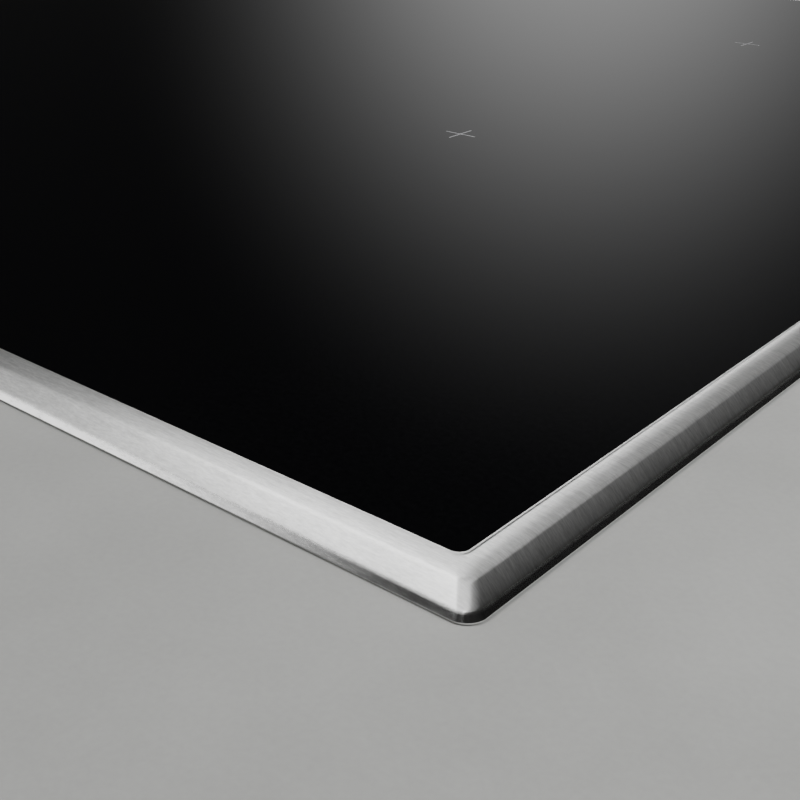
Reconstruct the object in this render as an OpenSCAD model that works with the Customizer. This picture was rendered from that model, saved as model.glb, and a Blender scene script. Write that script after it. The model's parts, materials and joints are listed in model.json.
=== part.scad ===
// Built-in induction hob: framed glass top, four sprung coil units, two fans, sheet-steel tray.
// Millimetres, +Z up. Z = 0 is the worktop surface, the front is -Y, and X = Y = 0 is the hob's centre.

/* [Trim frame] */
// Overall width of the frame
frame_w = 576; // [560:1:600]
// Overall depth of the frame
frame_d = 516; // [500:1:530]
// Width of the trim, seen from above
trim_w = 8; // [7:0.5:10]
// Vertical outer corner radius of the trim
trim_corner_r = 3.5; // [2:0.5:5]
// Corner radius of the opening that shows the glass
opening_corner_r = 2; // [1:0.5:4]

/* [Glass] */
// Glass thickness
glass_t = 4; // [3.8:0.1:4.2]
// Height of the glass underside over the worktop, which is the squeezed seal's thickness
seal_t = 0.4; // [0.3:0.1:0.4]

/* [Tray] */
// Outside width of the tray
tray_w = 548; // [540:1:552]
// Outside depth of the tray
tray_d = 480; // [470:1:482]
// Depth of the tray below the worktop
tray_depth = 44; // [42:1:48]
// Sheet thickness of the tray
sheet = 0.8; // [0.6:0.1:1]

/* [Coils] */
// Outer radius of the front left coil
coil_r_front_left = 72; // [65:1:75]
// Outer radius of the back left coil
coil_r_back_left = 100; // [90:1:104]
// Outer radius of the front right coil
coil_r_front_right = 86; // [80:1:90]
// Outer radius of the back right coil
coil_r_back_right = 72; // [65:1:75]
// Radial pitch of the turns
turn_pitch = 3.2; // [3:0.1:4]

/* [Fans] */
// Impeller outer radius
impeller_r = 40; // [36:1:41]
// Number of blades
blades = 24; // [16:1:28]

/* [Which piece] */
// Piece to draw

/* [Hidden] */
$fn = 64;
eps = 0.05;
opening_x = frame_w / 2 - trim_w;
opening_y = frame_d / 2 - trim_w;
glass_top = seal_t + glass_t;
glass_lap = 4.4;
frame_top = 5;
floor_top = -tray_depth + sheet;
wall_top = -1;
tray_x = tray_w / 2;
tray_y = tray_d / 2;

// Height levels of the coil units, the bridge below them and the boards
mica_top = 0.1;
mica_bottom = -0.4;
winding_top = -0.5;
disc_top = -4.4;
disc_bottom = -6.4;
ferrite_bottom = -10.4;
bridge_top = -15;
bridge_t = 1.2;
board_bottom = -39;
board_top = -37.4;

// Side coils as [x, y, radius]
front_left = [-138, -98, coil_r_front_left];
back_left = [-138, 98, coil_r_back_left];
front_right = [138, -66, coil_r_front_right];
back_right = [138, 126, coil_r_back_right];
coil_places = [front_left, back_left, front_right, back_right];
pin_angles = [90, 210, 330];
pin_inset = 7;

// The power modules are alike: the right one stands module_pitch further along X
module_pitch = 260;
fan_x = 120;
fan_y = 72;
fan_half = 48;
fan_top = -18;
bridge_in = 8;
bridge_out = 252;
bridge_front = -176;
bridge_back = 214;

// Terminal box in the rear right corner
box_x0 = 165;
box_x1 = 245;
box_y0 = 200;
box_wall = 1.5;
box_top = -17;
hinge_y = tray_y + 1.9;
hinge_z = -20.3;
hinge_pin_r = 1.5;
hinge_bore_r = 1.56;
ear_x = [170, 237];
ear_w = 3;
inlet_x = 180;
inlet_y = 222;
inlet_r = 6;

// Retaining clips
clip_y = 120;
clip_w = 20;
clip_pivot_x = tray_x + 1.8;
clip_pivot_z = -35;
clip_screw_z = -20;

side_screw_ys = [-180, -60, 60, 180];
side_screw_z = -7;
foot_ys = [-150, -20, 90, 190];

steel = [0.75, 0.75, 0.74];
zinc = [0.66, 0.67, 0.68];
black_glass = [0.02, 0.02, 0.025];
black_plastic = [0.09, 0.09, 0.1];
grey_plastic = [0.55, 0.56, 0.57];
alu = [0.78, 0.79, 0.8];
copper = [0.72, 0.4, 0.2];
rubber = [0.06, 0.06, 0.06];
ferrite = [0.2, 0.19, 0.19];
mica = [0.78, 0.72, 0.58];
board_green = [0.1, 0.32, 0.16];

// Rectangle with rounded corners, centred
module rounded(x, y, r) {
    square([x - 2 * r, y], center = true);
    square([x, y - 2 * r], center = true);
    for (sx = [-1, 1], sy = [-1, 1])
        translate([sx * (x / 2 - r), sy * (y / 2 - r)])
            circle(r);
}

// Box between two corner points
module block(a, b) {
    translate(a)
        cube(b - a);
}

// Upright cylinder between two heights
module post(x, y, r, z0, z1) {
    translate([x, y, z0])
        cylinder(r = r, h = z1 - z0);
}

// One side of a mitred ring: the profile's X counts outwards from hx
module ring_side(hx, hy, reach, profile) {
    intersection() {
        translate([hx, 0, 0])
            rotate([90, 0, 0])
                linear_extrude(height = 2 * (hy + reach + 1), center = true)
                    polygon(profile);
        translate([0, 0, -10])
            linear_extrude(height = 30)
                polygon([
                    [hx - 1, 1 - hy], [hx + reach + 1, -hy - reach - 1],
                    [hx + reach + 1, hy + reach + 1], [hx - 1, hy - 1]
                ]);
    }
}

// A profile swept round a rectangular opening, with mitred corners
module mitred_ring(hx, hy, reach, profile) {
    ring_side(hx, hy, reach, profile);
    rotate([0, 0, 180])
        ring_side(hx, hy, reach, profile);
    rotate([0, 0, 90])
        ring_side(hy, hx, reach, profile);
    rotate([0, 0, -90])
        ring_side(hy, hx, reach, profile);
}

// Trim section: flat ledge on the glass, crown, curved flank down to the wall, and a thin foot
trim_section = [
    [0, 4.45], [0, 4.7], [0.05, 4.73], [0.12, 4.755], [0.36, 4.76], [0.64, 4.875], [0.9, 4.95],
    [1.4, 4.99], [1.9, frame_top], [2.5, 4.98], [3.1, 4.93], [3.7, 4.845], [4.2, 4.745],
    [4.5, 4.66], [4.75, 4.52], [5, 4.33], [5.35, 3.97], [5.8, 3.49], [6.25, 2.99], [6.7, 2.47],
    [7.08, 2.01], [7.25, 1.77], [7.41, 1.5], [7.57, 1.21], [7.72, 0.935], [7.86, 0.68],
    [trim_w, 0.42], [trim_w, 0.18], [7.3, 0.18], [7.25, 0.5], [6.95, 1.1], [6.45, 2], [5.75, 3],
    [5.05, 3.85], [4.75, 4.2], [4.5, 4.45]
];

// Bead between the glass edge and the inside of the trim
bead_section = [
    [glass_lap, seal_t], [7.15, seal_t], [7.12, 0.5], [6.82, 1.05], [6.32, 1.95], [5.62, 2.94],
    [4.95, 3.76], [4.65, 4.1], [4.45, 4.35], [glass_lap, 4.4]
];

module steel_trim_frame() {
    color(steel)
        intersection() {
            union() {
                mitred_ring(opening_x, opening_y, trim_w, trim_section);
                for (sx = [0, 1], sy = [0, 1])
                    mirror([sx, 0, 0])
                        mirror([0, sy, 0])
                            translate([opening_x, opening_y, 4.5])
                                linear_extrude(height = 0.3)
                                    difference() {
                                        translate([-opening_corner_r, -opening_corner_r])
                                            square(opening_corner_r + eps);
                                        translate([-opening_corner_r, -opening_corner_r])
                                            circle(opening_corner_r);
                                    }
            }
            translate([0, 0, -1])
                linear_extrude(height = 8)
                    rounded(frame_w, frame_d, trim_corner_r);
        }
}

// Plan radius of the glass corners, hidden under the trim
glass_corner_r = 2.8;

module glass_ceramic_top() {
    color(black_glass)
        translate([0, 0, seal_t])
            linear_extrude(height = glass_t)
                rounded(2 * (opening_x + glass_lap), 2 * (opening_y + glass_lap), glass_corner_r);
}

bracket_in = 256;
bracket_out = 272.9;
bracket_y = 225;

module glass_adhesive() {
    color(rubber) {
        intersection() {
            union() {
                mitred_ring(opening_x, opening_y, trim_w, bead_section);
                // The glass corners are rounded, so the bead fills in behind them
                translate([0, 0, seal_t])
                    linear_extrude(height = glass_t)
                        difference() {
                            square([2 * (opening_x + glass_lap) + 0.1, 2 * (opening_y + glass_lap) + 0.1],
                                center = true);
                            rounded(2 * (opening_x + glass_lap), 2 * (opening_y + glass_lap), glass_corner_r);
                        }
            }
            translate([0, 0, -1])
                linear_extrude(height = 8)
                    rounded(2 * (opening_x + 7.15), 2 * (opening_y + 7.15), 10.8);
        }
        for (s = [-1, 1])
            translate([s * 264, 0, (seal_t - 0.1) / 2])
                cube([14, 2 * bracket_y - 2, seal_t + 0.1], center = true);
    }
}

seal_in = 1.5;
seal_out = 6.9;

module worktop_seal() {
    color(rubber)
        linear_extrude(height = seal_t)
            difference() {
                rounded(2 * (opening_x + seal_out), 2 * (opening_y + seal_out), 3);
                rounded(2 * (opening_x + seal_in), 2 * (opening_y + seal_in), 1);
            }
}

// Folded angle under one side of the glass, drawn for the right
module glass_bracket() {
    difference() {
        union() {
            block([bracket_in, -bracket_y, -1.3], [bracket_out, bracket_y, -0.1]);
            block([bracket_out - 1.2, -bracket_y, -14], [bracket_out, bracket_y, -0.1]);
        }
        for (y = side_screw_ys)
            translate([bracket_out - 3, y, side_screw_z])
                rotate([0, 90, 0])
                    cylinder(r = 2, h = 6);
    }
}

module glass_bracket_right() {
    color(zinc)
        glass_bracket();
}

module glass_bracket_left() {
    color(zinc)
        mirror([1, 0, 0])
            glass_bracket();
}

slot_pitch = 8;
slot_w = 4;

// Parallel intake slots that fill a circle under a fan
module intake_slots(x, y) {
    for (i = [-4:4]) {
        half = sqrt(38 * 38 - pow(i * slot_pitch, 2));
        block([x + i * slot_pitch - slot_w / 2, y - half, -tray_depth - 1],
              [x + i * slot_pitch + slot_w / 2, y + half, floor_top + 1]);
    }
}

module bottom_tray() {
    color(zinc)
        difference() {
            translate([0, 0, -tray_depth])
                linear_extrude(height = tray_depth + wall_top)
                    rounded(tray_w, tray_d, 6);
            translate([0, 0, floor_top])
                linear_extrude(height = tray_depth)
                    rounded(tray_w - 2 * sheet, tray_d - 2 * sheet, 6 - sheet);
            for (x = [fan_x, fan_x - module_pitch])
                intake_slots(x, fan_y);
            // Exhaust slots along the front
            for (side = [-1, 1], i = [-6:6])
                translate([side * 130 + i * 15, -tray_y, -30])
                    cube([8, 4, 14], center = true);
            // Opening in front of the terminal box
            block([box_x0 + 2, tray_y - 2, -41], [box_x1 - 2, tray_y + 1, -17.6]);
            post(inlet_x, inlet_y, 9, -tray_depth - 1, floor_top + 1);
            for (side = [-1, 1]) {
                for (y = side_screw_ys)
                    side_bore(side, y, side_screw_z);
                for (y = [-clip_y, clip_y])
                    side_bore(side, y, clip_screw_z);
            }
            for (side = [-1, 1], y = foot_ys, x = [4.5, 257])
                post(side * x, y, 2.05, -tray_depth - 1, floor_top + 1);
        }
}

// Screw hole through a side wall of the tray
module side_bore(side, y, z) {
    translate([side * tray_x, y, z])
        rotate([0, 90, 0])
            cylinder(r = 2.05, h = 6, center = true);
}

// Round-headed screw whose head rests at the origin and whose shank points to -Z
module screw(shank) {
    translate([0, 0, -shank])
        cylinder(r = 1.95, h = shank + eps);
    difference() {
        rotate_extrude()
            polygon([[0, 0], [3.5, 0], [3.5, 0.6], [2.8, 1.4], [1.6, 1.8], [0, 1.8]]);
        for (a = [0, 90])
            rotate([0, 0, a])
                translate([0, 0, 1.6])
                    cube([3.2, 0.7, 1.6], center = true);
    }
}

clip_plate_t = 1;

module chassis_screws() {
    color(zinc)
        for (side = [0, 1])
            mirror([side, 0, 0]) {
                for (y = side_screw_ys)
                    translate([tray_x, y, side_screw_z])
                        rotate([0, 90, 0])
                            screw(4);
                for (y = [-clip_y, clip_y])
                    translate([tray_x + clip_plate_t, y, clip_screw_z])
                        rotate([0, 90, 0])
                            screw(5);
                for (y = foot_ys, x = [4.5, 257])
                    translate([x, y, floor_top + bridge_t])
                        screw(1.9);
            }
}

// Bridge over one power module, drawn for the right: top sheet, two flanges and their feet
module coil_bridge() {
    difference() {
        union() {
            block([bridge_in, bridge_front, bridge_top - bridge_t], [bridge_out, bridge_back, bridge_top]);
            for (x = [bridge_in, bridge_out - bridge_t])
                block([x, bridge_front, floor_top], [x + bridge_t, bridge_back, bridge_top]);
            block([1, bridge_front, floor_top], [bridge_in + bridge_t, bridge_back, floor_top + bridge_t]);
            block([bridge_out - bridge_t, bridge_front, floor_top],
                  [bridge_out + 10, bridge_back, floor_top + bridge_t]);
        }
        // Air openings in the flanges
        for (y = [-150, -40, 70])
            block([bridge_in - 1, y, -38], [bridge_out + 1, y + 90, -20]);
        // Holes for the screws in the feet
        for (y = foot_ys, x = [4.5, 257])
            post(x, y, 2.05, floor_top - 1, floor_top + 3);
        // Lead and sensor openings
        children();
    }
}

module lead_opening(c) {
    translate([c[0], c[1], bridge_top])
        cube([44, 22, 6], center = true);
}

module coil_bridge_right() {
    color(alu)
        coil_bridge() {
            union() {
                lead_opening(front_right);
                lead_opening(back_right);
            }
        }
}

module coil_bridge_left() {
    color(alu)
        mirror([1, 0, 0])
            coil_bridge() {
                union() {
                    lead_opening([-front_left[0], front_left[1]]);
                    lead_opening([-back_left[0], back_left[1]]);
                }
            }
}

// Places its child at each guide pin of one coil
module at_pins(c) {
    for (a = pin_angles)
        translate([c[0] + (c[2] - pin_inset) * cos(a), c[1] + (c[2] - pin_inset) * sin(a), 0])
            children();
}

module coil_guide_pins() {
    color(zinc)
        for (c = coil_places)
            at_pins(c) {
                post(0, 0, 2, bridge_top, -4.1);
                post(0, 0, 2.9, bridge_top, bridge_top + 0.8);
            }
}

// One coil unit
module coil_carrier(c) {
    color(black_plastic)
        translate([c[0], c[1], 0])
            difference() {
                union() {
                    post(0, 0, c[2], disc_bottom, disc_top);
                    tube(c[2], c[2] - 1.5, disc_top - eps, winding_top);
                    tube(c[2] - 12.4, c[2] - 13.4, disc_top - eps, winding_top);
                    tube(14, 12, disc_top - eps, winding_top);
                    tube(c[2] - 12.4, c[2] - 13.4, ferrite_bottom, disc_bottom + eps);
                    tube(18, 16.8, ferrite_bottom, disc_bottom + eps);
                }
                post(0, 0, 12, disc_bottom - 1, 0);
                translate([-c[0], -c[1], 0])
                    at_pins(c)
                        post(0, 0, 2.4, disc_bottom - 1, disc_top + 1);
            }
}

module tube(outer, inner, z0, z1) {
    translate([0, 0, z0])
        difference() {
            cylinder(r = outer, h = z1 - z0);
            translate([0, 0, -1])
                cylinder(r = inner, h = z1 - z0 + 2);
        }
}

// Turns of litz wire, each bulging over a common base
module coil_winding(c) {
    first = 16;
    last = c[2] - 15.6;
    turns = floor((last - first) / turn_pitch);
    wire_r = turn_pitch / 2;
    color(copper)
        translate([c[0], c[1], 0])
            rotate_extrude()
                union() {
                    translate([first, disc_top])
                        square([turns * turn_pitch, winding_top - disc_top - wire_r]);
                    for (i = [0:turns])
                        translate([first + i * turn_pitch, winding_top - wire_r])
                            circle(wire_r, $fn = 24);
                }
}

module ferrite_bars(c) {
    count = c[2] > 80 ? 10 : 8;
    color(ferrite)
        translate([c[0], c[1], 0])
            for (i = [0:count - 1])
                rotate([0, 0, i * 360 / count])
                    translate([18.6, -5, ferrite_bottom])
                        cube([c[2] - 13.8 - 18.6, 10, disc_bottom - ferrite_bottom]);
}

module mica_sheet(c) {
    color(mica)
        translate([c[0], c[1], 0])
            tube(c[2], 8, mica_bottom, mica_top);
}

module heat_sensor(c) {
    color(grey_plastic)
        translate([c[0], c[1], 0]) {
            post(0, 0, 11.95, disc_bottom, disc_top);
            post(0, 0, 5, disc_top - eps, mica_top - 0.6);
            post(0, 0, 3, mica_top - 0.6 - eps, mica_top);
        }
}

// Coil spring of flat section, drawn upwards from the origin
module spring(r, wire, length, turns) {
    span = 360 * turns * wire / length;
    steps = 3;
    linear_extrude(height = length, twist = -360 * turns, slices = 12 * turns, $fn = 8)
        polygon([
            for (i = [0:steps]) (r + wire / 2) * [cos(i * span / steps), sin(i * span / steps)],
            for (i = [steps:-1:0]) (r - wire / 2) * [cos(i * span / steps), sin(i * span / steps)]
        ]);
}

module coil_springs(c) {
    color(steel)
        at_pins(c)
            translate([0, 0, bridge_top])
                spring(3.8, 0.8, disc_bottom - bridge_top - 0.3, 3);
}

// Power module pieces, drawn for the right
module power_board() {
    difference() {
        block([25, -150, board_bottom], [235, 15, board_top]);
        for (x = [32, 228], y = [-143, 8])
            post(x, y, 2.2, board_bottom - 1, board_top + 1);
    }
}

module filter_board() {
    color(board_green)
        difference() {
            block([30, 130, board_bottom], [150, 195, board_top]);
            for (x = [36, 144], y = [136, 189])
                post(x, y, 2.2, board_bottom - 1, board_top + 1);
        }
}

// Snap post under a board
module snap_post(x, y) {
    post(x, y, 4, floor_top, board_bottom);
    post(x, y, 2.1, board_bottom - eps, board_top + eps);
    post(x, y, 2.9, board_top, board_top + 1.4);
}

module power_boards() {
    color(board_green)
        for (s = [0, 1])
            translate([-s * module_pitch, 0, 0])
                power_board();
}

module board_supports() {
    color(grey_plastic) {
        for (s = [0, 1], x = [32, 228], y = [-143, 8])
            snap_post(x - s * module_pitch, y);
        for (x = [36, 144], y = [136, 189])
            snap_post(x, y);
    }
}

fins = 11;

module heatsinks() {
    color(alu)
        for (s = [0, 1])
            translate([-s * module_pitch, 5, board_top])
                rotate([90, 0, 0])
                    linear_extrude(height = 140) {
                        translate([80, 0])
                            square([60, 4]);
                        for (i = [0:fins - 1])
                            translate([80 + i * 58.5 / (fins - 1), 0])
                                square([1.5, 18]);
                    }
}

module power_transistors() {
    color(black_plastic)
        for (s = [0, 1], i = [0:4])
            translate([140 - s * module_pitch, -125 + i * 26, board_top + 1])
                cube([5, 16, 17]);
}

module film_capacitors() {
    color(grey_plastic) {
        for (s = [0, 1]) {
            for (i = [0:2])
                translate([158 - s * module_pitch, -130 + i * 30, board_top])
                    cube([32, 18, 18]);
            for (i = [0:1])
                post(178 - s * module_pitch, -32 + i * 24, 9, board_top, board_top + 18);
        }
        for (i = [0:1])
            translate([100, 140 + i * 24, board_top])
                cube([32, 16, 16]);
    }
}

module filter_choke() {
    color(copper)
        translate([66, 162, board_top + 6.5])
            rotate_extrude()
                translate([14, 0])
                    circle(6.5, $fn = 48);
}

// Fan pieces, drawn for the right
module fan_housing() {
    difference() {
        block([fan_x - fan_half, fan_y - fan_half, floor_top], [fan_x + fan_half, fan_y + fan_half, fan_top]);
        post(fan_x, fan_y, impeller_r + 4, floor_top - 1, fan_top - 2);
        block([fan_x - 36, fan_y - fan_half - 1, floor_top + 3], [fan_x + 36, fan_y - 20, fan_top - 2]);
    }
}

module fan_motor() {
    post(fan_x, fan_y, 12, -30, fan_top - 2);
    post(fan_x, fan_y, 1.5, -41, -30 + eps);
}

module fan_impeller() {
    translate([fan_x, fan_y, 0])
        difference() {
            union() {
                post(0, 0, impeller_r, -40, -38.8);
                post(0, 0, 15, -40, -24);
                tube(impeller_r, impeller_r - 2, -24, -22.8);
                for (i = [0:blades - 1])
                    rotate([0, 0, i * 360 / blades])
                        translate([impeller_r - 2, 0, -39])
                            rotate([0, 0, 25])
                                translate([-12, -0.6, 0])
                                    cube([12.5, 1.2, 15.6]);
            }
            post(0, 0, 13, -38.4, -20);
            post(0, 0, 1.56, -42, -38);
        }
}

module fan_housing_right() {
    color(black_plastic)
        fan_housing();
}

module fan_housing_left() {
    color(black_plastic)
        translate([-module_pitch, 0, 0])
            fan_housing();
}

module fan_motors() {
    color(zinc)
        for (s = [0, 1])
            translate([-s * module_pitch, 0, 0])
                fan_motor();
}

module fan_impeller_right() {
    color(grey_plastic)
        fan_impeller();
}

module fan_impeller_left() {
    color(grey_plastic)
        translate([-module_pitch, 0, 0])
            fan_impeller();
}

module terminal_box() {
    rear = tray_y - sheet;
    color(grey_plastic)
        difference() {
            union() {
                block([box_x0, box_y0, floor_top], [box_x1, box_y0 + box_wall, box_top]);
                for (x = [box_x0, box_x1 - box_wall])
                    block([x, box_y0, floor_top], [x + box_wall, rear, box_top]);
                block([box_x0, box_y0, box_top - box_wall], [box_x1, rear, box_top]);
                for (x = ear_x) {
                    block([x, tray_y - 6, hinge_z - 2.2], [x + ear_w, hinge_y, -18.1]);
                    translate([x, hinge_y, hinge_z])
                        rotate([0, 90, 0])
                            cylinder(r = 2.2, h = ear_w);
                }
            }
            translate([ear_x[0] - 1, hinge_y, hinge_z])
                rotate([0, 90, 0])
                    cylinder(r = hinge_bore_r, h = ear_x[1] - ear_x[0] + ear_w + 2);
        }
}

module terminal_cover() {
    color(black_plastic)
        difference() {
            union() {
                block([box_x0 + 1, tray_y + 0.4, -42.5], [box_x1 - 1, tray_y + 1.9, hinge_z - 2.9]);
                block([ear_x[0] + ear_w + 0.5, tray_y + 0.4, -42.5], [ear_x[1] - 0.5, tray_y + 1.9, hinge_z]);
                translate([ear_x[0], hinge_y, hinge_z])
                    rotate([0, 90, 0])
                        cylinder(r = hinge_pin_r, h = ear_x[1] - ear_x[0] + ear_w);
            }
            // Finger recess at the lower edge
            block([198, tray_y, -43], [212, tray_y + 3, -40.5]);
        }
}

poles = 5;
pole_pitch = 9;

module terminal_block() {
    color(grey_plastic)
        difference() {
            block([194, box_y0 + box_wall, -39], [242, 225, -24]);
            for (i = [0:poles - 1]) {
                translate([200 + i * pole_pitch, 216, -28])
                    cylinder(r = 2.6, h = 5);
                translate([200 + i * pole_pitch, 222, -34])
                    cube([5, 8, 5], center = true);
            }
        }
}

module cable_grommet() {
    color(rubber)
        translate([inlet_x, inlet_y, 0])
            difference() {
                union() {
                    post(0, 0, 8.95, -tray_depth, floor_top + 1.8);
                    post(0, 0, 10.5, floor_top, floor_top + 1.8);
                }
                post(0, 0, inlet_r, -tray_depth - 1, floor_top + 3);
            }
}

// Touch panel electronics under the front of the glass
module control_carrier() {
    color(black_plastic) {
        difference() {
            block([-130, -236, -15], [130, -204, wall_top - 0.2]);
            block([-128.5, -234.5, -13.5], [128.5, -205.5, 1]);
            block([-72, -216, -16], [-34, -208, -12]);
        }
        for (x = [-126, -88, 82, 120], y = [-233, -212])
            block([x, y, -13.5 - eps], [x + 6, y + 5, -9.6]);
        for (x = [-130, 124], y = [-236, -210])
            block([x, y, floor_top], [x + 6, y + 6, -15 + eps]);
    }
}

module control_board() {
    color(board_green)
        block([-127, -233.5, -9.6], [127, -206.5, -8]);
}

module touch_contact_springs() {
    color(steel)
        for (i = [-4:4])
            translate([i * 26, -220, -8])
                spring(3.4, 0.6, 8.4, 3);
}

module ribbon_cable() {
    color(grey_plastic)
        translate([-44, 0, 0])
            rotate([90, 0, -90])
                linear_extrude(height = 18)
                    polygon([
                        [212.6, -9.6], [212, -9.6], [212, -33.4], [139.4, -33.4], [139.4, board_top],
                        [140, board_top], [140, -34], [212.6, -34]
                    ]);
}

// Retaining clips that grip the sides of the worktop cut-out
module clip_base() {
    difference() {
        block([tray_x, -clip_w / 2, -33], [tray_x + clip_plate_t, clip_w / 2, -12]);
        translate([tray_x, 0, clip_screw_z])
            rotate([0, 90, 0])
                cylinder(r = 2.05, h = 6, center = true);
    }
}

module clip_bases() {
    color(zinc)
        for (side = [0, 1], y = [-clip_y, clip_y])
            mirror([side, 0, 0])
                translate([0, y, 0])
                    clip_base();
}

// Leaf drawn for the right at Y = 0, rising from its bend to the crest that touches the cut-out
module clip_leaf() {
    color(steel)
        difference() {
            rotate([90, 0, 0])
                linear_extrude(height = clip_w - 2, center = true)
                    union() {
                        polygon([
                            [clip_pivot_x - 0.4, clip_pivot_z], [clip_pivot_x + 0.4, clip_pivot_z],
                            [279.2, -14], [279.6, -10.5], [278.6, -6], [277.8, -6.2],
                            [278.8, -10.5], [278.4, -13.8]
                        ]);
                        translate([clip_pivot_x, clip_pivot_z])
                            circle(0.8, $fn = 32);
                    }
            // Clearance over the screw of the clip's base
            block([270, -4.5, clip_screw_z - 5], [285, 4.5, clip_screw_z + 5]);
        }
}

module place_leaf(side, y) {
    mirror([side < 0 ? 1 : 0, 0, 0])
        translate([0, y, 0])
            clip_leaf();
}

glass_ceramic_top();
steel_trim_frame();
glass_adhesive();
worktop_seal();
glass_bracket_left();
glass_bracket_right();
bottom_tray();
chassis_screws();
coil_bridge_left();
coil_bridge_right();
coil_guide_pins();
power_boards();
heatsinks();
power_transistors();
film_capacitors();
board_supports();
fan_housing_left();
fan_housing_right();
fan_motors();
filter_board();
filter_choke();
terminal_box();
terminal_block();
cable_grommet();
control_carrier();
control_board();
touch_contact_springs();
ribbon_cable();
clip_bases();
fan_impeller_left();
fan_impeller_right();
terminal_cover();
place_leaf(-1, -clip_y);  // clip_leaf_front_left
place_leaf(-1, clip_y);  // clip_leaf_back_left
place_leaf(1, -clip_y);  // clip_leaf_front_right
place_leaf(1, clip_y);  // clip_leaf_back_right
coil_carrier(front_left);  // coil_carrier_front_left
coil_winding(front_left);  // coil_winding_front_left
ferrite_bars(front_left);  // ferrite_bars_front_left
mica_sheet(front_left);  // mica_sheet_front_left
heat_sensor(front_left);  // heat_sensor_front_left
coil_springs(front_left);  // coil_springs_front_left
coil_carrier(back_left);  // coil_carrier_back_left
coil_winding(back_left);  // coil_winding_back_left
ferrite_bars(back_left);  // ferrite_bars_back_left
mica_sheet(back_left);  // mica_sheet_back_left
heat_sensor(back_left);  // heat_sensor_back_left
coil_springs(back_left);  // coil_springs_back_left
coil_carrier(front_right);  // coil_carrier_front_right
coil_winding(front_right);  // coil_winding_front_right
ferrite_bars(front_right);  // ferrite_bars_front_right
mica_sheet(front_right);  // mica_sheet_front_right
heat_sensor(front_right);  // heat_sensor_front_right
coil_springs(front_right);  // coil_springs_front_right
coil_carrier(back_right);  // coil_carrier_back_right
coil_winding(back_right);  // coil_winding_back_right
ferrite_bars(back_right);  // ferrite_bars_back_right
mica_sheet(back_right);  // mica_sheet_back_right
heat_sensor(back_right);  // heat_sensor_back_right
coil_springs(back_right);  // coil_springs_back_right
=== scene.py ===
import json
import math

import bmesh
import bpy
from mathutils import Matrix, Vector


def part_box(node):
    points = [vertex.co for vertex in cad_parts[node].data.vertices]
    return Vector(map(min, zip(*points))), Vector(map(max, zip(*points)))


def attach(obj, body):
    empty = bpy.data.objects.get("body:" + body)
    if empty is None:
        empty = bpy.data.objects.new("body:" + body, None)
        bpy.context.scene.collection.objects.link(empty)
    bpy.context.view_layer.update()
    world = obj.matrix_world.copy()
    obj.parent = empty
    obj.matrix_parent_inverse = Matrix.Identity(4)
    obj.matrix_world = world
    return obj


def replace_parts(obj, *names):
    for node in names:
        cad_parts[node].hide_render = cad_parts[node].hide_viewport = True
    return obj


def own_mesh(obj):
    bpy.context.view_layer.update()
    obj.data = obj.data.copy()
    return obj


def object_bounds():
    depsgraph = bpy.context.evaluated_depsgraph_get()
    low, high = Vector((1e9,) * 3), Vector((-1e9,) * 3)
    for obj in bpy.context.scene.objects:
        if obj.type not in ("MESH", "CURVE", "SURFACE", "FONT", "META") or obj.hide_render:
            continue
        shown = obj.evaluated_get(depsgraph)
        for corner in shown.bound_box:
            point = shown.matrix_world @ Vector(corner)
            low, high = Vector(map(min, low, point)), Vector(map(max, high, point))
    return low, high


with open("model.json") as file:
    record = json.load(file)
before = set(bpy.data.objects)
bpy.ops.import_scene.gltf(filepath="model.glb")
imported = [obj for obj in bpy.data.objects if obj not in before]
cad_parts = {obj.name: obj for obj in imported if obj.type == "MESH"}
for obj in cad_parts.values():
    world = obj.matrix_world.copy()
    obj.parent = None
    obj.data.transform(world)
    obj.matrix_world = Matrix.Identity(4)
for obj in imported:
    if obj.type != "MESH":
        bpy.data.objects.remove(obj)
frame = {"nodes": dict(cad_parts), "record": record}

# Built-in induction hob with a brushed steel trim, let into a pale grey worktop.
# Z = 0 is the worktop surface, the front is -Y and the user's right is +X. Metres throughout.

CAD_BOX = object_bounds()
MM = 0.001

ROOT_BODY = "hob_body"
ZONES = ("front_left", "back_left", "front_right", "back_right")

TRIM_LOW, TRIM_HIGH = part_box("steel_trim_frame")
TRIM_W = 8 * MM
OPENING_X = TRIM_HIGH.x - TRIM_W
OPENING_Y = TRIM_HIGH.y - TRIM_W
GLASS_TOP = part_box("glass_ceramic_top")[1].z


# ---------------------------------------------------------------- camera

# The camera stands over the worktop near the front right corner, a few trim widths away from it.
CAMERA_AZIMUTH = 40.1
CAMERA_ELEVATION = 26.2
CAMERA_OFFSET = Vector((9.911, -13.595, 12.515)) * TRIM_W
CAMERA_LENS = 56.4
CAMERA_SENSOR = 36.0


def make_camera():
    """The photograph's view: its corner, its viewing angle and its framing."""
    data = bpy.data.cameras.new("camera")
    data.lens = CAMERA_LENS
    data.sensor_width = CAMERA_SENSOR
    data.clip_start = 0.005
    camera = bpy.data.objects.new("camera", data)
    bpy.context.scene.collection.objects.link(camera)
    camera.location = Vector((TRIM_HIGH.x, TRIM_LOW.y, 0)) + CAMERA_OFFSET
    camera.rotation_euler = (math.radians(90 - CAMERA_ELEVATION), 0, math.radians(CAMERA_AZIMUTH))
    bpy.context.scene.camera = camera


make_camera()


# ---------------------------------------------------------------- shader helpers

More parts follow.
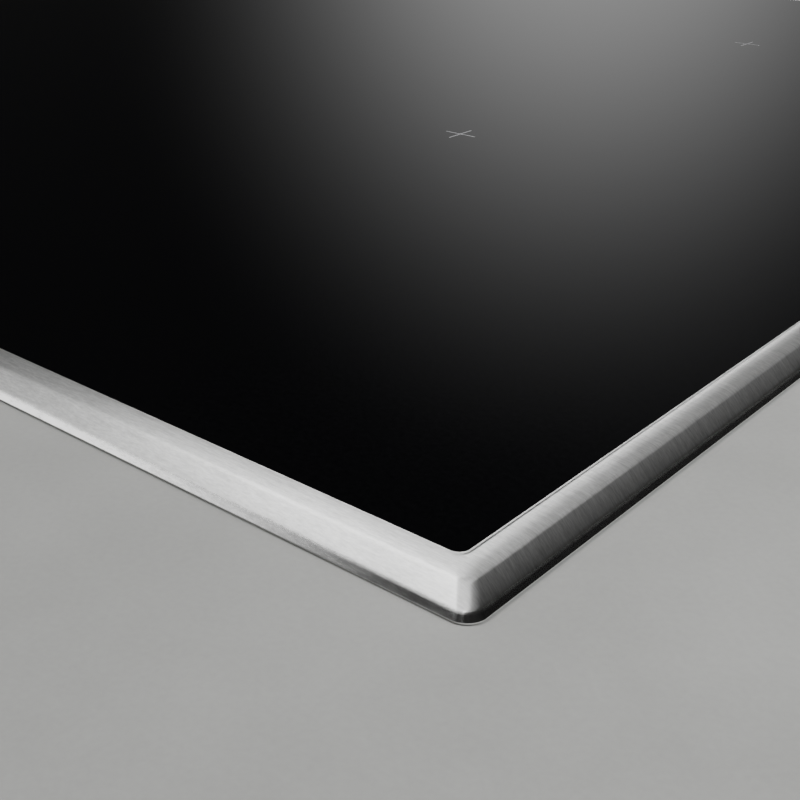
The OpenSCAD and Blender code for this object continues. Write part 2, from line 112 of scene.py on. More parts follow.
class Shader:
    """A Principled material under construction, with short calls for the nodes that the looks need."""

    def __init__(self, name, roughness=0.5, metallic=0.0, **sockets):
        self.material = bpy.data.materials.new(name)
        self.material.use_nodes = True
        self.tree = self.material.node_tree
        self.bsdf = self.tree.nodes["Principled BSDF"]
        self.bsdf.inputs["Roughness"].default_value = roughness
        self.bsdf.inputs["Metallic"].default_value = metallic
        for socket, value in sockets.items():
            self.bsdf.inputs[socket.replace("_", " ")].default_value = value

    def add(self, kind, **settings):
        node = self.tree.nodes.new(kind)
        for key, value in settings.items():
            setattr(node, key, value)
        return node

    def link(self, source, target):
        self.tree.links.new(source, target)

    def place(self, scale=(1, 1, 1)):
        """Object coordinates in metres, stretched by scale."""
        coords = self.add("ShaderNodeTexCoord")
        mapping = self.add("ShaderNodeMapping")
        mapping.inputs["Scale"].default_value = scale
        self.link(coords.outputs["Object"], mapping.inputs["Vector"])
        return mapping.outputs["Vector"]

    def noise(self, scale, detail=4.0, rough=0.55, stretch=(1, 1, 1)):
        """Fractal noise, finer along the axes that stretch makes longer."""
        node = self.add("ShaderNodeTexNoise")
        node.inputs["Scale"].default_value = scale
        node.inputs["Detail"].default_value = detail
        node.inputs["Roughness"].default_value = rough
        self.link(self.place(stretch), node.inputs["Vector"])
        return node.outputs["Fac"]

    def voronoi(self, scale):
        """A random colour for each cell of a pattern with so many cells a metre."""
        node = self.add("ShaderNodeTexVoronoi")
        node.inputs["Scale"].default_value = scale
        self.link(self.place(), node.inputs["Vector"])
        return node.outputs["Color"]

    def ramp(self, factor, low, high, start=0.3, end=0.7):
        """Blends from the colour low to the colour high as factor goes from start to end."""
        node = self.add("ShaderNodeValToRGB")
        first, last = node.color_ramp.elements
        first.position, last.position = start, end
        first.color, last.color = (*low, 1), (*high, 1)
        self.link(factor, node.inputs["Fac"])
        return node.outputs["Color"]

    def between(self, factor, low, high, start=0.3, end=0.7):
        """Goes from the value low to the value high as factor goes from start to end."""
        node = self.add("ShaderNodeMapRange")
        node.inputs["From Min"].default_value = start
        node.inputs["From Max"].default_value = end
        node.inputs["To Min"].default_value = low
        node.inputs["To Max"].default_value = high
        self.link(factor, node.inputs["Value"])
        return node.outputs["Result"]

    def math(self, operation, a, b):
        """A calculation with two values, each a number or another node's output."""
        node = self.add("ShaderNodeMath", operation=operation)
        for socket, value in zip(node.inputs, (a, b)):
            if isinstance(value, (int, float)):
                socket.default_value = value
            else:
                self.link(value, socket)
        return node.outputs["Value"]

    def colour(self, output):
        self.link(output, self.bsdf.inputs["Base Color"])

    def rough(self, output):
        self.link(output, self.bsdf.inputs["Roughness"])

    def bump(self, height, distance, strength):
        """Surface relief: height runs from 0 to 1 and distance is its depth in metres."""
        node = self.add("ShaderNodeBump")
        node.inputs["Strength"].default_value = strength
        node.inputs["Distance"].default_value = distance
        self.link(height, node.inputs["Height"])
        self.link(node.outputs["Normal"], self.bsdf.inputs["Normal"])


# ---------------------------------------------------------------- materials

def glass_ceramic():
    """Opaque black glass-ceramic: a deep body colour, a polished face and a trace of waviness."""
    s = Shader("black_glass_ceramic", roughness=0.03, IOR=1.5)
    s.colour(s.ramp(s.noise(900, 3), (0.0012, 0.0012, 0.0015), (0.0022, 0.0022, 0.0026)))
    s.rough(s.between(s.noise(60, 5), 0.02, 0.05))
    s.bump(s.noise(45, 2), 0.00002, 0.25)
    return s.material


# Density of the brush lines along Y and along X and Z, per metre.
BRUSH_ACROSS = 4400
BRUSH_ALONG = 700
# Heights over the worktop at which the wall's fine finish turns into the brushed one.
WALL_FINISH_EDGE = (1.25 * MM, 2.05 * MM)
WALL_FINISH = 0.26
# Heights over the worktop at which the foot ends.
FOOT_EDGE = (0.43 * MM, 0.45 * MM)
# Strength of the painted highlight and painted shade in the foot's colour.
FOOT_PAINTED_LIGHT = 0.35
BRIGHTEST_STEEL = (0.97, 0.97, 0.96)
BRUSH_DEPTH = 0.02 * MM
# How far the tangent tips up on faces that look along Y.
TANGENT_TIP = -0.6


def brushed_trim():
    """Stainless steel brushed along X on all four bars, which is across the two side bars. The foot's
    colour holds painted light: a painted highlight where it faces right and painted shade where it faces
    front, back or left.
    """
    s = Shader("brushed_trim", metallic=1.0, roughness=0.38, Anisotropic=1.0)
    fine = s.noise(1, 3, 0.7, (BRUSH_ALONG, BRUSH_ACROSS, BRUSH_ALONG))
    coarse = s.noise(1, 4, 0.6, (BRUSH_ALONG / 4, BRUSH_ACROSS / 3, BRUSH_ALONG / 4))
    cloud = s.noise(70, 3)
    grain = s.math("ADD", s.math("MULTIPLY", fine, 0.6), s.math("MULTIPLY", coarse, 0.4))
    mixed = s.math("ADD", s.math("MULTIPLY", grain, 0.7), s.math("MULTIPLY", cloud, 0.3))
    # The wall near the worktop is finished finer than the brushed faces above it.
    height = s.add("ShaderNodeSeparateXYZ")
    s.link(s.place(), height.inputs["Vector"])
    finish = s.between(height.outputs["Z"], WALL_FINISH, 1.0, *WALL_FINISH_EDGE)
    s.rough(s.math("MULTIPLY", s.between(mixed, 0.35, 0.42), finish))
    geometry = s.add("ShaderNodeNewGeometry")
    split = s.add("ShaderNodeSeparateXYZ")
    s.link(geometry.outputs["Normal"], split.inputs["Vector"])
    # The foot's colour holds painted light: a painted highlight where it faces right and painted shade
    # where it faces front, back or left.
    foot = s.between(height.outputs["Z"], 1, 0, *FOOT_EDGE)
    foot_painted_light = s.between(split.outputs["X"], -FOOT_PAINTED_LIGHT, FOOT_PAINTED_LIGHT, 0, 1)
    foot_painted_light_scale = s.math("ADD", s.math("MULTIPLY", foot, foot_painted_light), 1)
    steel = s.ramp(grain, (0.56, 0.56, 0.555), (0.83, 0.83, 0.82), 0.35, 0.65)
    # The steel colour scaled by the foot's painted highlight and painted shade, then capped.
    lit = s.add("ShaderNodeVectorMath", operation="SCALE")
    s.link(steel, lit.inputs["Vector"])
    s.link(foot_painted_light_scale, lit.inputs["Scale"])
    capped = s.add("ShaderNodeVectorMath", operation="MINIMUM")
    s.link(lit.outputs["Vector"], capped.inputs[0])
    capped.inputs[1].default_value = BRIGHTEST_STEEL
    s.colour(capped.outputs["Vector"])
    s.bump(s.math("MULTIPLY", grain, finish), BRUSH_DEPTH, 0.8)
    # Highlights stretch across the grain, so the tangent runs along Y. It is tipped up on faces that
    # look along Y, where it would meet the normal.
    across = s.add("ShaderNodeCombineXYZ")
    across.inputs["Y"].default_value = 1
    s.link(s.math("MULTIPLY", split.outputs["Y"], TANGENT_TIP), across.inputs["Z"])
    s.link(across.outputs["Vector"], s.bsdf.inputs["Tangent"])
    return s.material


def sheet_metal(name, low, high, spangle=60, rough=(0.32, 0.5)):
    """Rolled or zinc-coated sheet with a faint spangle and fine rolling lines."""
    s = Shader(name, metallic=1.0)
    flakes = s.voronoi(spangle)
    cloud = s.noise(spangle * 0.6, 4)
    split = s.add("ShaderNodeSeparateColor")
    s.link(flakes, split.inputs["Color"])
    mixed = s.math("ADD", s.math("MULTIPLY", split.outputs["Red"], 0.45), s.math("MULTIPLY", cloud, 0.55))
    s.colour(s.ramp(mixed, low, high, 0.25, 0.75))
    s.rough(s.between(mixed, *rough, 0.25, 0.75))
    s.bump(s.noise(1, 2, 0.5, (60, 1500, 1500)), 0.00003, 0.3)
    return s.material


def moulded(name, low, high, grain=900, rough=(0.42, 0.6), depth=0.00004, **sockets):
    """Moulded plastic or rubber with a fine texture."""
    s = Shader(name, **sockets)
    s.colour(s.ramp(s.noise(35, 5), low, high))
    s.rough(s.between(s.noise(grain / 4, 3), *rough))
    s.bump(s.noise(grain, 3), depth, 0.5)
    return s.material


def circuit_board():
    """Green solder mask over copper tracks."""
    s = Shader("circuit_board", roughness=0.35, Coat_Weight=0.4, Coat_Roughness=0.2)
    brick = s.add("ShaderNodeTexBrick", offset=0.37, squash=0.6, squash_frequency=3)
    tracks = {"Scale": 90, "Mortar Size": 0.035, "Brick Width": 0.9, "Row Height": 0.22}
    for socket, value in tracks.items():
        brick.inputs[socket].default_value = value
    s.link(s.place(), brick.inputs["Vector"])
    s.colour(s.ramp(brick.outputs["Fac"], (0.012, 0.085, 0.035), (0.03, 0.16, 0.06), 0.2, 0.8))
    s.rough(s.between(s.noise(400, 3), 0.28, 0.42))
    s.bump(brick.outputs["Fac"], 0.00004, 0.4)
    return s.material


def litz_copper():
    """Enamelled copper strands, twisted tightly enough to read as fine slanting ridges."""
    s = Shader("litz_copper", metallic=1.0, roughness=0.35, Coat_Weight=0.5, Coat_Roughness=0.15)
    wave = s.add("ShaderNodeTexWave", bands_direction="DIAGONAL")
    wave.inputs["Scale"].default_value = 420
    wave.inputs["Distortion"].default_value = 2.5
    s.link(s.place(), wave.inputs["Vector"])
    s.colour(s.ramp(wave.outputs["Fac"], (0.42, 0.16, 0.06), (0.78, 0.40, 0.20), 0.2, 0.8))
    s.rough(s.between(s.noise(300, 3), 0.28, 0.45))
    s.bump(wave.outputs["Fac"], 0.0001, 0.5)
    return s.material


def printed_marks():
    """Fired-on ceramic print, grey and slightly mottled."""
    s = Shader("printed_marks", roughness=0.45)
    s.colour(s.ramp(s.noise(700, 4), (0.30, 0.30, 0.31), (0.42, 0.42, 0.43)))
    s.rough(s.between(s.noise(900, 3), 0.38, 0.55))
    s.bump(s.noise(2500, 2), 0.00001, 0.3)
    return s.material


def worktop_stone():
    """Pale grey mineral worktop with a soft mottle."""
    s = Shader("worktop_stone", roughness=0.55)
    cloud = s.noise(28, 6, 0.62)
    grit = s.noise(900, 3)
    mixed = s.math("ADD", s.math("MULTIPLY", cloud, 0.7), s.math("MULTIPLY", grit, 0.3))
    s.colour(s.ramp(mixed, (0.315, 0.316, 0.305), (0.365, 0.366, 0.355), 0.35, 0.65))
    s.rough(s.between(cloud, 0.5, 0.7))
    s.bump(mixed, 0.0001, 0.25)
    return s.material


def pale_floor():
    """Plain pale studio floor."""
    s = Shader("pale_floor", roughness=0.8)
    s.colour(s.ramp(s.noise(3, 4), (0.78, 0.78, 0.78), (0.82, 0.82, 0.82)))
    return s.material


MATERIALS = {
    "black_glass": glass_ceramic(),
    "brushed_trim": brushed_trim(),
    "silicone_black": moulded("silicone_black", (0.008, 0.008, 0.008), (0.016, 0.016, 0.016), 1500,
                              (0.35, 0.5)),
    "seal_foam": moulded("seal_foam", (0.012, 0.012, 0.012), (0.03, 0.03, 0.03), 3000, (0.75, 0.9), 0.0001),
    "zinc_sheet": sheet_metal("zinc_sheet", (0.42, 0.43, 0.44), (0.60, 0.61, 0.62)),
    "zinc_fasteners": sheet_metal("zinc_fasteners", (0.50, 0.50, 0.50), (0.68, 0.68, 0.67), 400,
                                  (0.22, 0.38)),
    "aluminium_sheet": sheet_metal("aluminium_sheet", (0.70, 0.71, 0.72), (0.82, 0.82, 0.83), 25,
                                   (0.28, 0.42)),
    "circuit_board": circuit_board(),
    "black_plastic": moulded("black_plastic", (0.012, 0.012, 0.013), (0.022, 0.022, 0.024)),
    "grey_plastic": moulded("grey_plastic", (0.28, 0.29, 0.30), (0.36, 0.37, 0.38)),
    "copper_wire": litz_copper(),
    "ferrite": moulded("ferrite", (0.018, 0.018, 0.019), (0.04, 0.038, 0.038), 1800, (0.55, 0.75), 0.00008),
    "mica": moulded("mica", (0.42, 0.36, 0.24), (0.56, 0.50, 0.36), 500, (0.45, 0.65), 0.00005),
    "inlet_rubber": moulded("inlet_rubber", (0.012, 0.012, 0.012), (0.022, 0.022, 0.022), 1200,
                            (0.6, 0.75)),
    "spring_steel": sheet_metal("spring_steel", (0.52, 0.52, 0.51), (0.70, 0.70, 0.69), 300, (0.2, 0.34)),
    "printed_marks": printed_marks(),
}


def dress_cad_nodes():
    """Gives every CAD node the finish of its material slot."""
    slots = {part["node"]: part["material_slot"] for part in frame["record"]["subparts"]}
    for name, obj in frame["nodes"].items():
        material = MATERIALS[slots[name]]
        if not obj.material_slots:
            obj.data.materials.append(material)
        for material_slot in obj.material_slots:
            material_slot.material = material


dress_cad_nodes()


# ---------------------------------------------------------------- mesh helpers

def add_piece(name, bm, material, body=ROOT_BODY, smooth=True):
    """Turns a bmesh into a piece that rides on a body and takes its finish from a material slot."""
    bmesh.ops.recalc_face_normals(bm, faces=bm.faces)
    mesh = bpy.data.meshes.new(name)
    bm.to_mesh(mesh)
    bm.free()
    mesh.materials.append(MATERIALS[material])
    mesh.polygons.foreach_set("use_smooth", [smooth] * len(mesh.polygons))
    obj = bpy.data.objects.new(name, mesh)
    bpy.context.scene.collection.objects.link(obj)
    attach(obj, body)
    return obj


def rounded_rectangle(half_x, half_y, radius, steps):
    """Points round a rectangle with rounded corners, anticlockwise from the right of the front edge."""
    corners = ((1, -1, -90), (1, 1, 0), (-1, 1, 90), (-1, -1, 180))
    points = []
    for sx, sy, start in corners:
        cx, cy = sx * (half_x - radius), sy * (half_y - radius)
        for i in range(steps + 1):
            a = math.radians(start + 90 * i / steps)
            points.append((cx + radius * math.cos(a), cy + radius * math.sin(a)))
    return points


def smooth_line(points, steps):
    """Catmull-Rom curve through points, ends included."""
    ends = [points[0], *points, points[-1]]
    line = []
    for i in range(len(points) - 1):
        p0, p1, p2, p3 = (Vector(p) for p in ends[i:i + 4])
        for j in range(steps):
            t = j / steps
            line.append(0.5 * (2 * p1 + (p2 - p0) * t + (2 * p0 - 5 * p1 + 4 * p2 - p3) * t ** 2
                               + (3 * p1 - p0 - 3 * p2 + p3) * t ** 3))
    line.append(Vector(points[-1]))
    return line


def skin(bm, loops):
    """Faces between neighbouring closed loops of vertices, the last joined to the first."""
    for ring, following in zip(loops, loops[1:] + loops[:1]):
        n = len(ring)
        for i in range(n):
            bm.faces.new((ring[i], ring[(i + 1) % n], following[(i + 1) % n], following[i]))


# ---------------------------------------------------------------- trim

# Trim section in millimetres, as (outwards from the glass opening, up from the worktop).
# A flat ledge on the glass, a shallow rise, the crown, the flank, the wall and a thin foot.
TRIM_LEDGE = [(0.02, 4.66), (0.05, 4.73), (0.12, 4.755), (0.36, 4.76), (0.64, 4.875)]
TRIM_CROWN = [(0.90, 4.95), (1.4, 4.99), (1.9, 5.0), (2.5, 4.98), (3.1, 4.93), (3.7, 4.845), (4.2, 4.745)]
TRIM_FLANK = [(4.5, 4.66), (4.75, 4.52), (5.0, 4.33), (5.35, 3.97), (5.8, 3.49), (6.25, 2.99), (6.7, 2.47),
              (7.08, 2.01)]
TRIM_WALL = [(7.25, 1.77), (7.41, 1.50), (7.57, 1.21), (7.72, 0.935), (7.86, 0.68), (7.985, 0.455)]
TRIM_FOOT = [(8.0, 0.42), (8.0, 0.18)]
TRIM_UNDERSIDE = [(7.3, 0.18), (7.25, 0.5), (6.95, 1.1), (6.45, 2.0), (5.75, 3.0), (5.05, 3.85),
                  (4.75, 4.2), (4.5, 4.43), (0.02, 4.43)]
# Corner radius of each line round the trim, as (outwards from the opening, radius).
TRIM_CORNERS = ((0, 2.0), (4.5, 2.1), (7.3, 2.8), (8.0, 3.5))
TRIM_CORNER_STEPS = 24
TRIM_CURVE_STEPS = 4
CREASE_ANGLE = 14


def corner_radius(out):
    """Corner radius in millimetres at a distance outwards from the opening."""
    for (low, start), (high, end) in zip(TRIM_CORNERS, TRIM_CORNERS[1:]):
        if out <= high:
            return start + (end - start) * (out - low) / (high - low)
    return TRIM_CORNERS[-1][1]


def make_trim():
    """The trim as one closed ring: its section carried round the four bars and corners."""
    section = [Vector(p) for p in TRIM_LEDGE]
    section += smooth_line(TRIM_CROWN + TRIM_FLANK + TRIM_WALL, TRIM_CURVE_STEPS)
    section += [Vector(p) for p in TRIM_FOOT + TRIM_UNDERSIDE]
    bm = bmesh.new()
    loops = []
    for out, up in section:
        outline = rounded_rectangle(OPENING_X + out * MM, OPENING_Y + out * MM, corner_radius(out) * MM,
                                    TRIM_CORNER_STEPS)
        loops.append([bm.verts.new((x, y, up * MM)) for x, y in outline])
    skin(bm, loops)
    trim = add_piece("trim_frame_brushed", bm, "brushed_trim")
    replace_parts(trim, "steel_trim_frame")
    mark_sharp(trim, CREASE_ANGLE)


def mark_sharp(obj, degrees):
    """Keeps a crease where neighbouring faces meet at more than the given angle."""
    bm = bmesh.new()
    bm.from_mesh(obj.data)
    limit = math.radians(degrees)
    for edge in bm.edges:
        if len(edge.link_faces) == 2 and edge.calc_face_angle(0) > limit:
            edge.smooth = False
    bm.to_mesh(obj.data)
    bm.free()


make_trim()


# ---------------------------------------------------------------- print on the glass

PRINT_THICKNESS = 0.02 * MM
PRINT_Z = GLASS_TOP + 0.005 * MM


def bar(bm, x, y, length, width, turn=0.0):
    """A thin printed stroke centred at x, y, its length turned by the given degrees."""
    a = math.radians(turn)
    along = Vector((math.cos(a), math.sin(a), 0)) * length / 2
    across = Vector((-math.sin(a), math.cos(a), 0)) * width / 2
    centre = Vector((x, y, PRINT_Z))
    corners = [centre + along + across, centre - along + across, centre - along - across,
               centre + along - across]
    solid_from_outline(bm, corners)


def solid_from_outline(bm, corners):
    """A plate of the print's thickness over an outline of corners."""
    up = Vector((0, 0, PRINT_THICKNESS))
    low = [bm.verts.new(c) for c in corners]
    high = [bm.verts.new(c + up) for c in corners]
    bm.faces.new(high)
    bm.faces.new(low[::-1])
    n = len(corners)
    for i in range(n):
        bm.faces.new((low[i], low[(i + 1) % n], high[(i + 1) % n], high[i]))


def arc(bm, x, y, radius, width, start, end, steps=32):
    """A printed arc as one closed strip between two angles in degrees."""
    up = Vector((0, 0, PRINT_THICKNESS))
    rows = []
    for i in range(steps + 1):
        a = math.radians(start + (end - start) * i / steps)
        direction = Vector((math.cos(a), math.sin(a), 0))
        centre = Vector((x, y, PRINT_Z))
        inner = centre + direction * (radius - width / 2)
        outer = centre + direction * (radius + width / 2)
        rows.append([bm.verts.new(p) for p in (inner, outer, outer + up, inner + up)])
    full = abs(end - start) >= 360
    pairs = list(zip(rows, rows[1:]))
    if full:
        for v in rows[-1]:
            bm.verts.remove(v)
        rows.pop()
        pairs = list(zip(rows, rows[1:] + rows[:1]))
    for a, b in pairs:
        for i in range(4):
            j = (i + 1) % 4
            bm.faces.new((a[i], b[i], b[j], a[j]))
    if not full:
        bm.faces.new(rows[0])
        bm.faces.new(rows[-1][::-1])


# Line width of all the marks, and the length of the cross at the middle of each zone.
STROKE = 0.5 * MM
ZONE_CROSS = 11 * MM


def zone_centre(zone):
    """Middle of a zone's coil carrier."""
    low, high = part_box(f"coil_carrier_{zone}")
    return (low + high) / 2


def make_zone_marks():
    """A fine cross over the middle of each zone."""
    bm = bmesh.new()
    for zone in ZONES:
        centre = zone_centre(zone)
        arm = (ZONE_CROSS - STROKE) / 2
        bar(bm, centre.x, centre.y, ZONE_CROSS, STROKE)
        for side in (-1, 1):
            bar(bm, centre.x, centre.y + side * (arm + STROKE) / 2, arm, STROKE, 90)
    add_piece("zone_marks", bm, "printed_marks", smooth=False)


# Lines of the touch panel, left to right: on, slider, lock and pause, slider.
PANEL_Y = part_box("control_board")[0].y + 14 * MM
SLIDER_X = 62 * MM
SLIDER_TICKS = 9
SLIDER_PITCH = 4 * MM
ON_X = -112 * MM
LOCK_X = -12 * MM
PAUSE_X = 12 * MM


def make_touch_symbols():
    """Generic touch symbols: on, lock, pause, and a minus-to-plus slider for each pair of zones."""
    bm = bmesh.new()
    for side in (-1, 1):
        middle = side * SLIDER_X
        for i in range(SLIDER_TICKS):
            x = middle + (i - (SLIDER_TICKS - 1) / 2) * SLIDER_PITCH
            bar(bm, x, PANEL_Y, (1.5 + 0.45 * i) * MM, STROKE, 90)
        reach = (SLIDER_TICKS + 1.5) / 2 * SLIDER_PITCH
        bar(bm, middle - reach, PANEL_Y, 3 * MM, STROKE)
        bar(bm, middle + reach, PANEL_Y, 3 * MM, STROKE)
        for end in (-1, 1):
            bar(bm, middle + reach, PANEL_Y + end * 0.875 * MM, 1.25 * MM, STROKE, 90)
        for zone_side in (-1, 1):
            arc(bm, middle + zone_side * 10 * MM, PANEL_Y + 12 * MM, 2.4 * MM, STROKE, 0, 360)
    arc(bm, ON_X, PANEL_Y, 3 * MM, STROKE, 120, 420)
    bar(bm, ON_X, PANEL_Y + 2.6 * MM, 2.8 * MM, STROKE, 90)
    for dy in (-1.75, 1.75):
        bar(bm, LOCK_X, PANEL_Y + (dy - 1) * MM, 5 * MM, STROKE)
    for dx in (-2.25, 2.25):
        bar(bm, LOCK_X + dx * MM, PANEL_Y - 1 * MM, 2.9 * MM, STROKE, 90)
    arc(bm, LOCK_X, PANEL_Y + 1.1 * MM, 1.5 * MM, STROKE, 0, 180, 16)
    for dx in (-1.2, 1.2):
        bar(bm, PAUSE_X + dx * MM, PANEL_Y, 5 * MM, 0.8 * MM, 90)
    add_piece("touch_symbols", bm, "printed_marks", smooth=False)


make_zone_marks()
make_touch_symbols()


# ---------------------------------------------------------------- springs

SPRING_SEGMENTS = 28
WIRE_SEGMENTS = 8
# Share of a turn at each end that lies flat, and the lift of that flat part in wire widths a turn.
CLOSED_TURNS = 0.75
CLOSED_PITCH = 1.02

# Three springs a coil unit, on pins that stand this far inside the carrier's rim.
PIN_ANGLES = (90, 210, 330)
PIN_INSET = 7 * MM
COIL_SPRING_RADIUS = 3.8 * MM
COIL_SPRING_WIRE = 0.7 * MM
COIL_SPRING_TURNS = 5

# One contact spring under each touch field, and the reach of each CAD spring from its own axis.
TOUCH_SPRINGS = 9
TOUCH_SPRING_REACH = 3.7 * MM
TOUCH_SPRING_RADIUS = 3.4 * MM
TOUCH_SPRING_WIRE = 0.5 * MM
TOUCH_SPRING_TURNS = 6


def helix(bm, x, y, low, high, radius, wire, turns):
    """A compression spring with closed ends: the pitch is small where the first and last turns lie flat."""
    steps = SPRING_SEGMENTS * turns
    reach = high - low - wire
    rings = []
    for i in range(steps + 1):
        turn = i / SPRING_SEGMENTS
        share = min(max((turn - CLOSED_TURNS) / (turns - 2 * CLOSED_TURNS), 0), 1)
        flat = min(turn, CLOSED_TURNS) + max(turn - (turns - CLOSED_TURNS), 0)
        z = low + wire / 2 + flat * wire * CLOSED_PITCH
        z += share * (reach - 2 * CLOSED_TURNS * wire * CLOSED_PITCH)
        a = math.tau * turn
        out = Vector((math.cos(a), math.sin(a), 0))
        centre = Vector((x, y, z)) + out * radius
        ring = []
        for j in range(WIRE_SEGMENTS):
            b = math.tau * j / WIRE_SEGMENTS
            offset = out * math.cos(b) + Vector((0, 0, 1)) * math.sin(b)
            ring.append(bm.verts.new(centre + offset * wire / 2))
        rings.append(ring)
    for a, b in zip(rings, rings[1:]):
        for j in range(WIRE_SEGMENTS):
            k = (j + 1) % WIRE_SEGMENTS
            bm.faces.new((a[j], a[k], b[k], b[j]))
    bm.faces.new(rings[0][::-1])
    bm.faces.new(rings[-1])


def make_coil_springs():
    """The springs that press each coil unit up."""
    for zone in ZONES:
        node = f"coil_springs_{zone}"
        low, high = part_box(node)
        centre = zone_centre(zone)
        carrier_low, carrier_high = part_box(f"coil_carrier_{zone}")
        radius = (carrier_high.x - carrier_low.x) / 2 - PIN_INSET
        bm = bmesh.new()
        for angle in PIN_ANGLES:
            a = math.radians(angle)
            x, y = centre.x + radius * math.cos(a), centre.y + radius * math.sin(a)
            helix(bm, x, y, low.z, high.z, COIL_SPRING_RADIUS, COIL_SPRING_WIRE, COIL_SPRING_TURNS)
        springs = add_piece(f"springs_{zone}", bm, "spring_steel")
        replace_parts(springs, node)
        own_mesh(springs)


def make_touch_springs():
    """The row of contact springs between the control board and the glass."""
    node = "touch_contact_springs"
    low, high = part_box(node)
    first = low.x + TOUCH_SPRING_REACH
    pitch = (high.x - low.x - 2 * TOUCH_SPRING_REACH) / (TOUCH_SPRINGS - 1)
    bm = bmesh.new()
    for i in range(TOUCH_SPRINGS):
        helix(bm, first + i * pitch, (low.y + high.y) / 2, low.z, high.z,
              TOUCH_SPRING_RADIUS, TOUCH_SPRING_WIRE, TOUCH_SPRING_TURNS)
    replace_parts(add_piece("touch_springs", bm, "spring_steel"), node)


make_coil_springs()
make_touch_springs()


# ---------------------------------------------------------------- stage

WORKTOP_MARGIN = 0.10
WORKTOP_THICKNESS = 0.004
# Half sizes of the cut-out, and the radius of all the plate's corners.
CUTOUT_X = 0.280
CUTOUT_Y = 0.245
WORKTOP_CORNER = 0.004
WORKTOP_CORNER_STEPS = 6
FLOOR_SIZE = 6.0
FLOOR_GAP = 0.0005


def make_worktop():
    """A thin worktop plate with the standard cut-out for the hob."""
    outer_x = TRIM_HIGH.x + WORKTOP_MARGIN
    outer_y = TRIM_HIGH.y + WORKTOP_MARGIN
    bm = bmesh.new()
    loops = []
    for half_x, half_y, z in ((CUTOUT_X, CUTOUT_Y, 0),
                              (outer_x, outer_y, 0),
                              (outer_x, outer_y, -WORKTOP_THICKNESS),
                              (CUTOUT_X, CUTOUT_Y, -WORKTOP_THICKNESS)):
        outline = rounded_rectangle(half_x, half_y, WORKTOP_CORNER, WORKTOP_CORNER_STEPS)
        loops.append([bm.verts.new((x, y, z)) for x, y in outline])
    skin(bm, loops)
    bmesh.ops.recalc_face_normals(bm, faces=bm.faces)
    mesh = bpy.data.meshes.new("worktop")
    bm.to_mesh(mesh)
    bm.free()
    mesh.materials.append(worktop_stone())
    obj = bpy.data.objects.new("worktop", mesh)
    bpy.context.scene.collection.objects.link(obj)


def make_floor():
    """A pale floor just under the tray."""
    z = CAD_BOX[0].z - FLOOR_GAP
    half = FLOOR_SIZE / 2
    mesh = bpy.data.meshes.new("floor")
    mesh.from_pydata([(-half, -half, z), (half, -half, z), (half, half, z), (-half, half, z)], [],
                     [(0, 1, 2, 3)])
    mesh.materials.append(pale_floor())
    obj = bpy.data.objects.new("floor", mesh)
    bpy.context.scene.collection.objects.link(obj)


make_worktop()
make_floor()


# ---------------------------------------------------------------- light

def aim(obj, target):
    """Turns an object so that its -Z axis points at the target."""
    obj.rotation_mode = "QUATERNION"
    obj.rotation_quaternion = (Vector(target) - obj.location).to_track_quat("-Z", "Y")


def softbox(name, azimuth, elevation, distance, width, height, power, target=(0.2, -0.2, 0)):
    """An area light seen from the target at a compass bearing (0 is +Y, 90 is -X) and a height angle."""
    data = bpy.data.lights.new(name, "AREA")
    data.shape = "RECTANGLE"
    data.size, data.size_y = width, height
    data.energy = power
    obj = bpy.data.objects.new(name, data)
    bpy.context.scene.collection.objects.link(obj)
    a, e = math.radians(azimuth), math.radians(elevation)
    away = Vector((-math.sin(a) * math.cos(e), math.cos(a) * math.cos(e), math.sin(e)))
    obj.location = Vector(target) + away * distance
    aim(obj, target)
    return obj


# Levels of the dark room in reflections and of the even light on matt surfaces, and the colour seen
# behind the floor.
ROOM_LEVEL = 0.012
AMBIENT_LEVEL = 0.30
BACKDROP = (0.78, 0.78, 0.78, 1)

# Soft glows on the walls of the dark room, seen only in reflections: bearing (0 is +Y, 90 is -X),
# height, half width and half height in degrees, softness of the edge, level.
GLOWS = (
    (32, 8, 23, 28, 4, 0.56),
    (110, 55, 26, 15, 1, 9.2),
    (150, 33, 26, 14, 1, 2.5),
    (129.5, 11, 20, 17, 2, 2.4),
    (-140, 46, 36, 16, 1, 1.3),
    (90, 84, 36, 30, 1, 0.3),
    (-60, 62, 70, 50, 1, 0.09),
    (-43, 30, 45, 21, 1, 0.032),
)


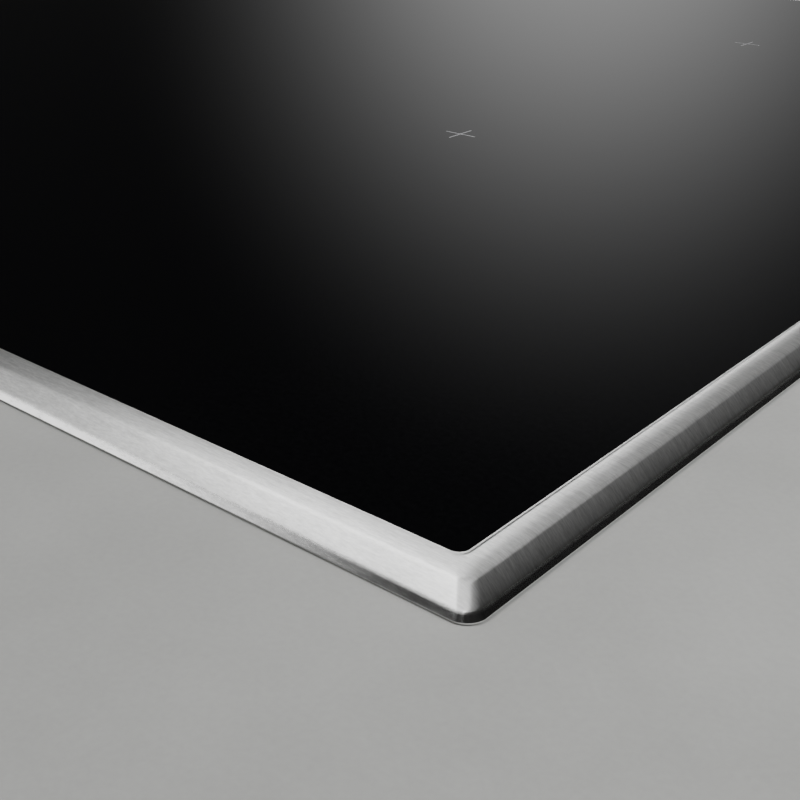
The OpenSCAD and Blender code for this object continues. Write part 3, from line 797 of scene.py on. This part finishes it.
def make_world():
    """The room of glows for reflections, even light for matt surfaces, a pale backdrop behind it all."""
    world = bpy.data.worlds.new("studio")
    bpy.context.scene.world = world
    world.use_nodes = True
    world.cycles.sampling_method = "NONE"
    tree = world.node_tree
    tree.nodes.clear()

    def node(kind, **settings):
        made = tree.nodes.new(kind)
        for key, value in settings.items():
            setattr(made, key, value)
        return made

    def calc(operation, *values):
        made = node("ShaderNodeMath", operation=operation)
        for socket, value in zip(made.inputs, values):
            if isinstance(value, (int, float)):
                socket.default_value = value
            else:
                tree.links.new(value, socket)
        return made.outputs["Value"]

    direction = node("ShaderNodeTexCoord").outputs["Generated"]

    def along(vector):
        made = node("ShaderNodeVectorMath", operation="DOT_PRODUCT")
        tree.links.new(direction, made.inputs[0])
        made.inputs[1].default_value = vector
        return made.outputs["Value"]

    def blob(bearing, height, half_width, half_height, softness, brightness):
        """An oval glow in one direction that fades out towards its edge."""
        a, e = math.radians(bearing), math.radians(height)
        ahead = Vector((-math.sin(a) * math.cos(e), math.cos(a) * math.cos(e), math.sin(e)))
        side = Vector((math.cos(a), math.sin(a), 0))
        wide = calc("DIVIDE", along(side), math.sin(math.radians(half_width)))
        tall = calc("DIVIDE", along(side.cross(ahead)), math.sin(math.radians(half_height)))
        distance = calc("ADD", calc("MULTIPLY", wide, wide), calc("MULTIPLY", tall, tall))
        fade = calc("POWER", calc("MAXIMUM", calc("SUBTRACT", 1.0, distance), 0.0), softness)
        return calc("MULTIPLY", calc("MULTIPLY", fade, calc("GREATER_THAN", along(ahead), 0.0)), brightness)

    level = ROOM_LEVEL
    for glow in GLOWS:
        level = calc("ADD", blob(*glow), level)

    def background(strength, colour=(1, 1, 1, 1)):
        made = node("ShaderNodeBackground")
        made.inputs["Color"].default_value = colour
        if isinstance(strength, float):
            made.inputs["Strength"].default_value = strength
        else:
            tree.links.new(strength, made.inputs["Strength"])
        return made.outputs["Background"]

    def choose(ray, otherwise, when):
        """One shader for rays of the given kind and another for the rest."""
        mix = node("ShaderNodeMixShader")
        tree.links.new(rays.outputs[ray], mix.inputs["Fac"])
        tree.links.new(otherwise, mix.inputs[1])
        tree.links.new(when, mix.inputs[2])
        return mix.outputs["Shader"]

    rays = node("ShaderNodeLightPath")
    matt = choose("Is Diffuse Ray", background(level), background(AMBIENT_LEVEL))
    shown = choose("Is Camera Ray", matt, background(1.0, BACKDROP))
    tree.links.new(shown, node("ShaderNodeOutputWorld").inputs["Surface"])


NEAR_CORNER = (0.288, -0.258, 0.003)
RIGHT_OF_HOB = (0.42, -0.10, 0)


def make_lights():
    """A softbox that only the trim reflects, and two that only light the matt surfaces."""
    # The first stands close in front of the corner, so its light falls off along the bars.
    near_light = softbox("near_corner", 178, 55, 0.10, 0.11, 0.07, 0.08, NEAR_CORNER)
    near_light.visible_diffuse = False
    near_light.visible_camera = False
    near_light.light_linking.receiver_collection = bpy.data.collections.new("trim_only")
    near_light.light_linking.receiver_collection.objects.link(bpy.data.objects["trim_frame_brushed"])
    key_left = softbox("key_left", 105, 60, 2.2, 0.8, 0.8, 27)
    fill_right = softbox("fill_right", -70, 60, 0.4, 0.3, 0.3, 2.8, RIGHT_OF_HOB)
    for matt_light in (key_left, fill_right):
        matt_light.visible_glossy = False


make_world()
make_lights()
